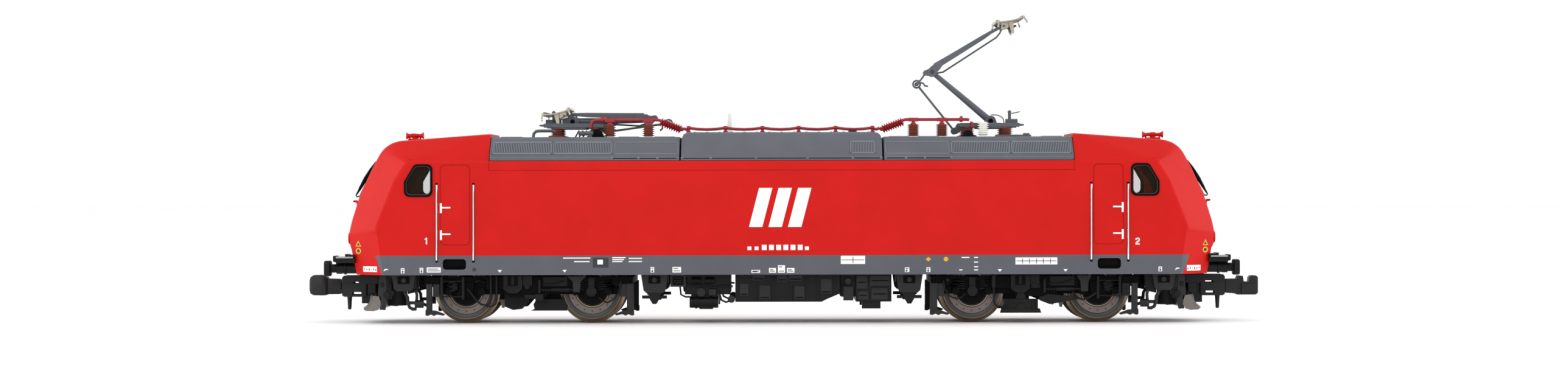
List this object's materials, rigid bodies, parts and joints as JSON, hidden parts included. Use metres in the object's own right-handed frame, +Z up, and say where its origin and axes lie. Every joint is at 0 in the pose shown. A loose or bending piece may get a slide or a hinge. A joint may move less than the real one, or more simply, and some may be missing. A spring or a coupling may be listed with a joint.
{
  "type": "model electric locomotive",
  "caption": "Small-scale model electric locomotive: red shell, grey roof hoods, folding pantographs, swivelling geared bogies, hook couplers and a lift-off body.",
  "frame": {"origin": "under the middle of the model, at the lowest point of the wheel flanges, half a millimetre below the rail head", "axes": "+X along the locomotive towards cab 2, +Y across it, +Z up"},
  "size_m": [0.1234, 0.0186, 0.0401],
  "materials": {
    "zinc_casting": "die-cast zinc, slightly rough",
    "motor_steel": "drawn can, satin",
    "shaft_steel": "ground steel",
    "wheel_steel": "blackened faces with bright treads",
    "drive_brass": "turned brass",
    "gear_brass": "cut brass",
    "gear_plastic": "moulded acetal",
    "board_green": "solder mask",
    "underframe_black": "moulded, matt black",
    "bogie_black": "moulded, matt black",
    "coupler_black": "moulded, satin black",
    "cab_dark_grey": "moulded, matt",
    "shell_red": "satin paint on moulded plastic",
    "roof_grey": "satin paint on moulded plastic",
    "busbar_red": "satin paint",
    "clear_glazing": "clear moulded plastic",
    "buffer_black": "moulded, satin black",
    "insulator_brown": "moulded brown",
    "pantograph_grey": "painted sheet metal and wire",
    "contact_strip": "formed wire and strip"
  },
  "bodies": {
    "chassis": {"chassis_frame": "zinc_casting", "motor_housing": "motor_steel", "circuit_board": "board_green", "underframe_box": "underframe_black", "cab_interior_1": "cab_dark_grey", "end_frame_1": "underframe_black", "cab_interior_2": "cab_dark_grey", "end_frame_2": "underframe_black"},
    "armature": {"motor_shaft": "shaft_steel", "flywheel_1": "drive_brass", "flywheel_2": "drive_brass", "worm_1": "drive_brass", "worm_2": "drive_brass"},
    "bogie_1": {"bogie_1_frame": "bogie_black", "bogie_1_gearbox": "bogie_black"},
    "bogie_1_worm_gear": {"bogie_1_worm_gear": "gear_brass"},
    "bogie_1_idler_outer": {"bogie_1_idler_outer": "gear_plastic"},
    "bogie_1_idler_inner": {"bogie_1_idler_inner": "gear_plastic"},
    "bogie_1_wheelset_outer": {"bogie_1_axle_outer": "shaft_steel", "bogie_1_wheel_outer_left": "wheel_steel", "bogie_1_wheel_outer_right": "wheel_steel"},
    "bogie_1_wheelset_inner": {"bogie_1_axle_inner": "shaft_steel", "bogie_1_wheel_inner_left": "wheel_steel", "bogie_1_wheel_inner_right": "wheel_steel"},
    "bogie_2": {"bogie_2_frame": "bogie_black", "bogie_2_gearbox": "bogie_black"},
    "bogie_2_worm_gear": {"bogie_2_worm_gear": "gear_brass"},
    "bogie_2_idler_outer": {"bogie_2_idler_outer": "gear_plastic"},
    "bogie_2_idler_inner": {"bogie_2_idler_inner": "gear_plastic"},
    "bogie_2_wheelset_outer": {"bogie_2_axle_outer": "shaft_steel", "bogie_2_wheel_outer_left": "wheel_steel", "bogie_2_wheel_outer_right": "wheel_steel"},
    "bogie_2_wheelset_inner": {"bogie_2_axle_inner": "shaft_steel", "bogie_2_wheel_inner_left": "wheel_steel", "bogie_2_wheel_inner_right": "wheel_steel"},
    "coupler_1_arm": {"coupler_1_arm": "coupler_black"},
    "coupler_1_head": {"coupler_1_head": "coupler_black"},
    "coupler_2_arm": {"coupler_2_arm": "coupler_black"},
    "coupler_2_head": {"coupler_2_head": "coupler_black"},
    "shell": {"body_shell": "shell_red", "roof": "roof_grey", "busbar": "busbar_red", "glazing_1": "clear_glazing", "buffer_1_left": "buffer_black", "buffer_1_right": "buffer_black", "pantograph_1_insulators": "insulator_brown", "pantograph_1_base": "pantograph_grey", "glazing_2": "clear_glazing", "buffer_2_left": "buffer_black", "buffer_2_right": "buffer_black", "pantograph_2_insulators": "insulator_brown", "pantograph_2_base": "pantograph_grey"},
    "pantograph_1_lower_arm": {"pantograph_1_lower_arm": "pantograph_grey"},
    "pantograph_1_upper_arm": {"pantograph_1_upper_arm": "pantograph_grey"},
    "pantograph_1_control_rod": {"pantograph_1_control_rod": "pantograph_grey"},
    "pantograph_1_head": {"pantograph_1_head": "contact_strip"},
    "pantograph_2_lower_arm": {"pantograph_2_lower_arm": "pantograph_grey"},
    "pantograph_2_upper_arm": {"pantograph_2_upper_arm": "pantograph_grey"},
    "pantograph_2_control_rod": {"pantograph_2_control_rod": "pantograph_grey"},
    "pantograph_2_head": {"pantograph_2_head": "contact_strip"}
  },
  "joints": [
    {"name": "motor_spin", "type": "hinge", "parent": "chassis", "child": "armature", "pos_m": [0, 0, 0.013], "axis": [1, 0, 0], "continuous": true},
    {"name": "shell_lift", "type": "slide", "parent": "chassis", "child": "shell", "axis": [0, 0, 1], "range_m": [0, 0.03]},
    {"name": "bogie_1_swivel", "type": "hinge", "parent": "chassis", "child": "bogie_1", "pos_m": [-0.0326, 0, 0.0063], "axis": [0, 0, 1], "range_deg": [-10, 10]},
    {"name": "bogie_1_worm_gear_spin", "type": "hinge", "parent": "bogie_1", "child": "bogie_1_worm_gear", "pos_m": [-0.0326, 0, 0.0082], "axis": [0, 1, 0], "continuous": true},
    {"name": "bogie_1_idler_outer_spin", "type": "hinge", "parent": "bogie_1", "child": "bogie_1_idler_outer", "pos_m": [-0.03653, 0, 0.00421], "axis": [0, 1, 0], "continuous": true},
    {"name": "bogie_1_axle_outer_spin", "type": "hinge", "parent": "bogie_1", "child": "bogie_1_wheelset_outer", "pos_m": [-0.04072, 0, 0.00425], "axis": [0, 1, 0], "continuous": true},
    {"name": "bogie_1_idler_inner_spin", "type": "hinge", "parent": "bogie_1", "child": "bogie_1_idler_inner", "pos_m": [-0.02867, 0, 0.00421], "axis": [0, 1, 0], "continuous": true},
    {"name": "bogie_1_axle_inner_spin", "type": "hinge", "parent": "bogie_1", "child": "bogie_1_wheelset_inner", "pos_m": [-0.02448, 0, 0.00425], "axis": [0, 1, 0], "continuous": true},
    {"name": "bogie_2_swivel", "type": "hinge", "parent": "chassis", "child": "bogie_2", "pos_m": [0.0326, 0, 0.0063], "axis": [0, 0, 1], "range_deg": [-10, 10]},
    {"name": "bogie_2_worm_gear_spin", "type": "hinge", "parent": "bogie_2", "child": "bogie_2_worm_gear", "pos_m": [0.0326, 0, 0.0082], "axis": [0, 1, 0], "continuous": true},
    {"name": "bogie_2_idler_outer_spin", "type": "hinge", "parent": "bogie_2", "child": "bogie_2_idler_outer", "pos_m": [0.03653, 0, 0.00421], "axis": [0, 1, 0], "continuous": true},
    {"name": "bogie_2_axle_outer_spin", "type": "hinge", "parent": "bogie_2", "child": "bogie_2_wheelset_outer", "pos_m": [0.04072, 0, 0.00425], "axis": [0, 1, 0], "continuous": true},
    {"name": "bogie_2_idler_inner_spin", "type": "hinge", "parent": "bogie_2", "child": "bogie_2_idler_inner", "pos_m": [0.02867, 0, 0.00421], "axis": [0, 1, 0], "continuous": true},
    {"name": "bogie_2_axle_inner_spin", "type": "hinge", "parent": "bogie_2", "child": "bogie_2_wheelset_inner", "pos_m": [0.02448, 0, 0.00425], "axis": [0, 1, 0], "continuous": true},
    {"name": "coupler_1_swing", "type": "hinge", "parent": "chassis", "child": "coupler_1_arm", "pos_m": [-0.0495, 0, 0.0043], "axis": [0, 0, 1], "range_deg": [-12, 12], "stiffness_Nm_per_rad": 0.0004},
    {"name": "coupler_1_lift", "type": "hinge", "parent": "coupler_1_arm", "child": "coupler_1_head", "pos_m": [-0.05545, 0, 0.0045], "axis": [0, 1, 0], "range_deg": [0, 8]},
    {"name": "coupler_2_swing", "type": "hinge", "parent": "chassis", "child": "coupler_2_arm", "pos_m": [0.0495, 0, 0.0043], "axis": [0, 0, 1], "range_deg": [-12, 12], "stiffness_Nm_per_rad": 0.0004},
    {"name": "coupler_2_lift", "type": "hinge", "parent": "coupler_2_arm", "child": "coupler_2_head", "pos_m": [0.05545, 0, 0.0045], "axis": [0, -1, 0], "range_deg": [0, 8]},
    {"name": "pantograph_1_raise", "type": "hinge", "parent": "shell", "child": "pantograph_1_lower_arm", "pos_m": [-0.0273, 0, 0.0261], "axis": [0, -1, 0], "range_deg": [0, 39.2]},
    {"name": "pantograph_1_knee", "type": "hinge", "parent": "pantograph_1_lower_arm", "child": "pantograph_1_upper_arm", "pos_m": [-0.01734, 0, 0.02627], "axis": [0, -1, 0], "range_deg": [-68.7, 0]},
    {"name": "pantograph_1_rod_pivot", "type": "hinge", "parent": "shell", "child": "pantograph_1_control_rod", "pos_m": [-0.0226, 0, 0.0248], "axis": [0, -1, 0], "range_deg": [0, 43.32]},
    {"name": "pantograph_1_head_pivot", "type": "hinge", "parent": "pantograph_1_upper_arm", "child": "pantograph_1_head", "pos_m": [-0.02836, 0, 0.02685], "axis": [0, -1, 0], "range_deg": [0, 29.5]},
    {"name": "pantograph_2_raise", "type": "hinge", "parent": "shell", "child": "pantograph_2_lower_arm", "pos_m": [0.0273, 0, 0.0261], "axis": [0, 1, 0], "range_deg": [-39.2, 0]},
    {"name": "pantograph_2_knee", "type": "hinge", "parent": "pantograph_2_lower_arm", "child": "pantograph_2_upper_arm", "pos_m": [0.01969, 0, 0.03253], "axis": [0, 1, 0], "range_deg": [0, 68.7]},
    {"name": "pantograph_2_rod_pivot", "type": "hinge", "parent": "shell", "child": "pantograph_2_control_rod", "pos_m": [0.0226, 0, 0.0248], "axis": [0, 1, 0], "range_deg": [-43.32, 0]},
    {"name": "pantograph_2_head_pivot", "type": "hinge", "parent": "pantograph_2_upper_arm", "child": "pantograph_2_head", "pos_m": [0.029, 0, 0.03846], "axis": [0, 1, 0], "range_deg": [-29.5, 0]}
  ],
  "couplings": [
    {"joint": "bogie_1_worm_gear_spin", "follows": "motor_spin", "ratio": -0.05},
    {"joint": "bogie_1_idler_outer_spin", "follows": "motor_spin", "ratio": 0.083333},
    {"joint": "bogie_1_axle_outer_spin", "follows": "motor_spin", "ratio": -0.083333},
    {"joint": "bogie_1_idler_inner_spin", "follows": "motor_spin", "ratio": 0.083333},
    {"joint": "bogie_1_axle_inner_spin", "follows": "motor_spin", "ratio": -0.083333},
    {"joint": "bogie_2_worm_gear_spin", "follows": "motor_spin", "ratio": -0.05},
    {"joint": "bogie_2_idler_outer_spin", "follows": "motor_spin", "ratio": 0.083333},
    {"joint": "bogie_2_axle_outer_spin", "follows": "motor_spin", "ratio": -0.083333},
    {"joint": "bogie_2_idler_inner_spin", "follows": "motor_spin", "ratio": 0.083333},
    {"joint": "bogie_2_axle_inner_spin", "follows": "motor_spin", "ratio": -0.083333},
    {"joint": "pantograph_1_knee", "follows": "pantograph_1_raise", "ratio": -1.7526},
    {"joint": "pantograph_1_rod_pivot", "follows": "pantograph_1_raise", "ratio": 1.105},
    {"joint": "pantograph_1_head_pivot", "follows": "pantograph_1_raise", "ratio": 0.7526},
    {"joint": "pantograph_2_knee", "follows": "pantograph_2_raise", "ratio": -1.7526},
    {"joint": "pantograph_2_rod_pivot", "follows": "pantograph_2_raise", "ratio": 1.105},
    {"joint": "pantograph_2_head_pivot", "follows": "pantograph_2_raise", "ratio": 0.7526}
  ]
}
